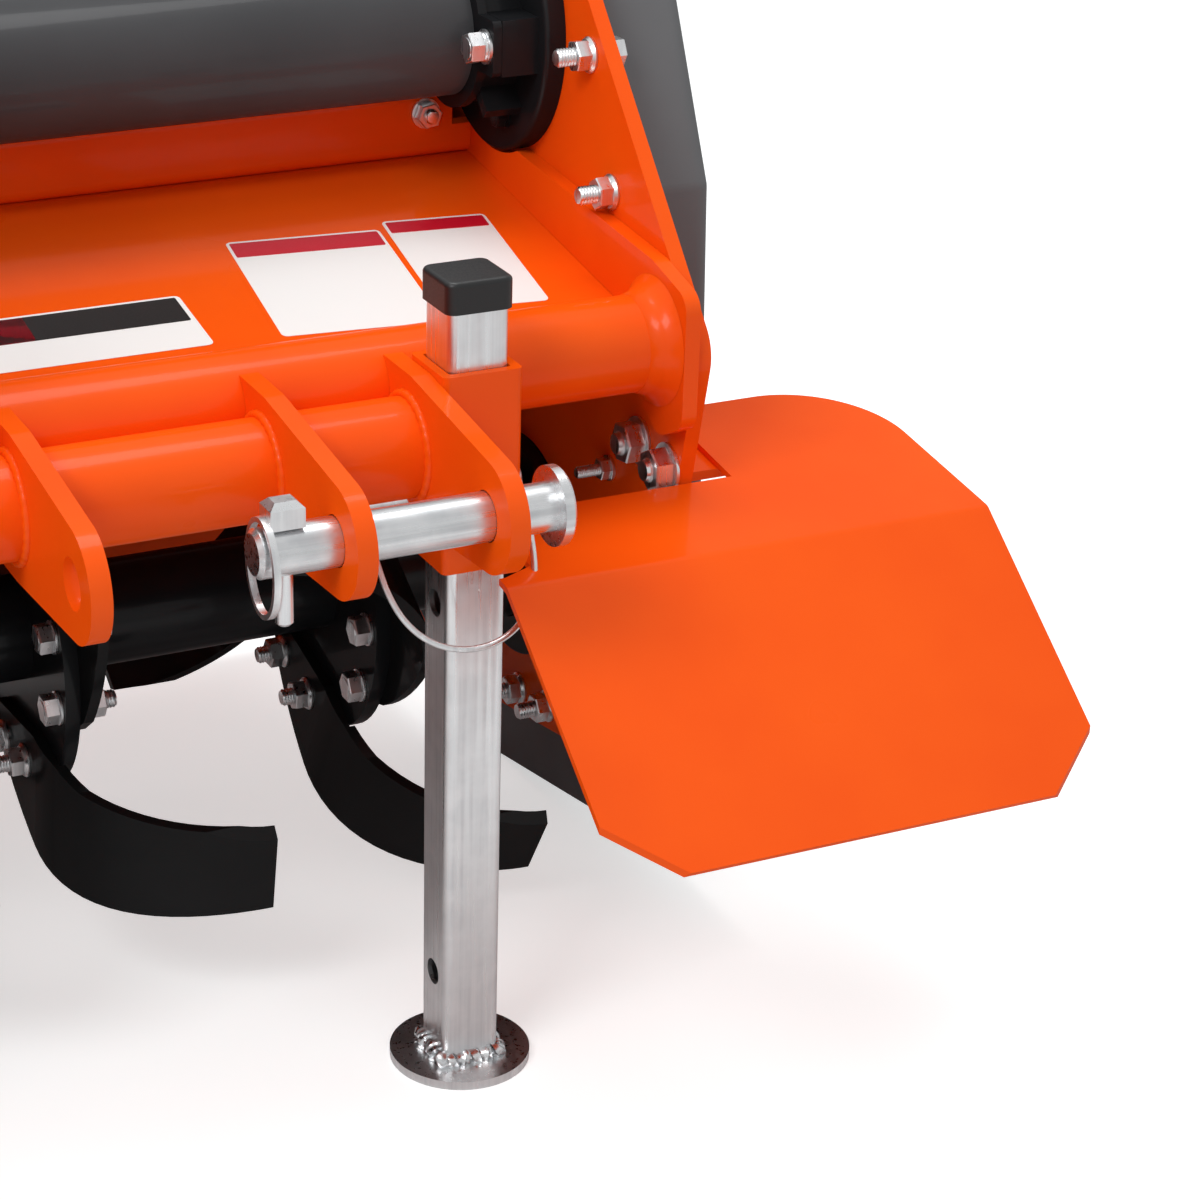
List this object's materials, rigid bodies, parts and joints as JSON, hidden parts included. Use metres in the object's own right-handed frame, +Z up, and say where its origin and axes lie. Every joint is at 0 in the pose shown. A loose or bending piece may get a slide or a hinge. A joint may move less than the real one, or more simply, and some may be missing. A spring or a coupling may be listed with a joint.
{
  "type": "rotary tiller",
  "caption": "Three-point-hitch rotary tiller with a driven tined rotor under a folded deck, side drive case, wing guards and two front parking legs.",
  "frame": {"origin": "middle of the bounding box in plan, on the floor that the machine is parked on", "axes": "+X to the machine's left, where the drive case is, -Y forward to the tractor, +Z up"},
  "size_m": [1.648, 0.8335, 0.937],
  "materials": {
    "orange_paint": "gloss",
    "gear_grey": "gloss",
    "shaft_grey": "satin",
    "black_paint": "satin",
    "tine_steel": "satin",
    "zinc": "zinc plated",
    "black_plastic": "matte",
    "bright_steel": "machined"
  },
  "bodies": {
    "machine": {"main_cross_tube": "orange_paint", "hitch_tube_left": "orange_paint", "hitch_tube_right": "orange_paint", "hitch_lugs_left": "orange_paint", "hitch_lugs_right": "orange_paint", "stand_sleeve_left": "orange_paint", "stand_sleeve_right": "orange_paint", "side_plate_left": "orange_paint", "side_plate_right": "orange_paint", "frame_plate_left": "orange_paint", "frame_plate_right": "orange_paint", "deck": "orange_paint", "shaft_beam": "orange_paint", "mast_left": "orange_paint", "mast_right": "orange_paint", "brace_left": "orange_paint", "brace_right": "orange_paint", "brace_lugs": "orange_paint", "wing_guard_left": "orange_paint", "wing_guard_right": "orange_paint", "wing_bracket_left": "orange_paint", "wing_bracket_right": "orange_paint", "drive_case": "gear_grey", "gearbox": "gear_grey", "skid_left": "gear_grey", "skid_right": "gear_grey", "cross_shaft_tube": "shaft_grey", "support_tube": "shaft_grey", "rotor_hub_left": "black_paint", "rotor_hub_right": "black_paint", "shaft_housing_left": "black_paint", "shaft_housing_right": "black_paint", "tube_flanges": "black_paint", "hitch_pin_left": "zinc", "hitch_pin_right": "zinc", "linch_pin_left": "zinc", "linch_pin_right": "zinc", "hinge_rod": "zinc", "shaft_guard": "black_plastic"},
    "rotor": {"rotor_tube": "black_paint", "rotor_stub_left": "black_paint", "rotor_stub_right": "black_paint", "tines_left": "tine_steel", "tines_right": "tine_steel"},
    "input": {"input_shaft": "bright_steel"},
    "rear_flap": {"flap": "orange_paint"},
    "stand_left": {"stand_leg_left": "zinc", "stand_cap_left": "black_plastic"},
    "stand_right": {"stand_leg_right": "zinc", "stand_cap_right": "black_plastic"}
  },
  "joints": [
    {"name": "rotor_spin", "type": "hinge", "parent": "machine", "child": "rotor", "pos_m": [0, 0.04, 0.233], "axis": [1, 0, 0], "continuous": true},
    {"name": "input_spin", "type": "hinge", "parent": "machine", "child": "input", "pos_m": [0, 0.078, 0.59], "axis": [0, -0.9848, 0.1736], "continuous": true},
    {"name": "stand_left_slide", "type": "slide", "parent": "machine", "child": "stand_left", "axis": [0, 0, 1], "range_m": [0, 0.329]},
    {"name": "stand_right_slide", "type": "slide", "parent": "machine", "child": "stand_right", "axis": [0, 0, 1], "range_m": [0, 0.329]},
    {"name": "flap_hinge", "type": "hinge", "parent": "machine", "child": "rear_flap", "pos_m": [0, 0.312, 0.428], "axis": [1, 0, 0], "range_deg": [0, 65]}
  ],
  "couplings": [
    {"joint": "input_spin", "follows": "rotor_spin", "ratio": 2.57}
  ]
}
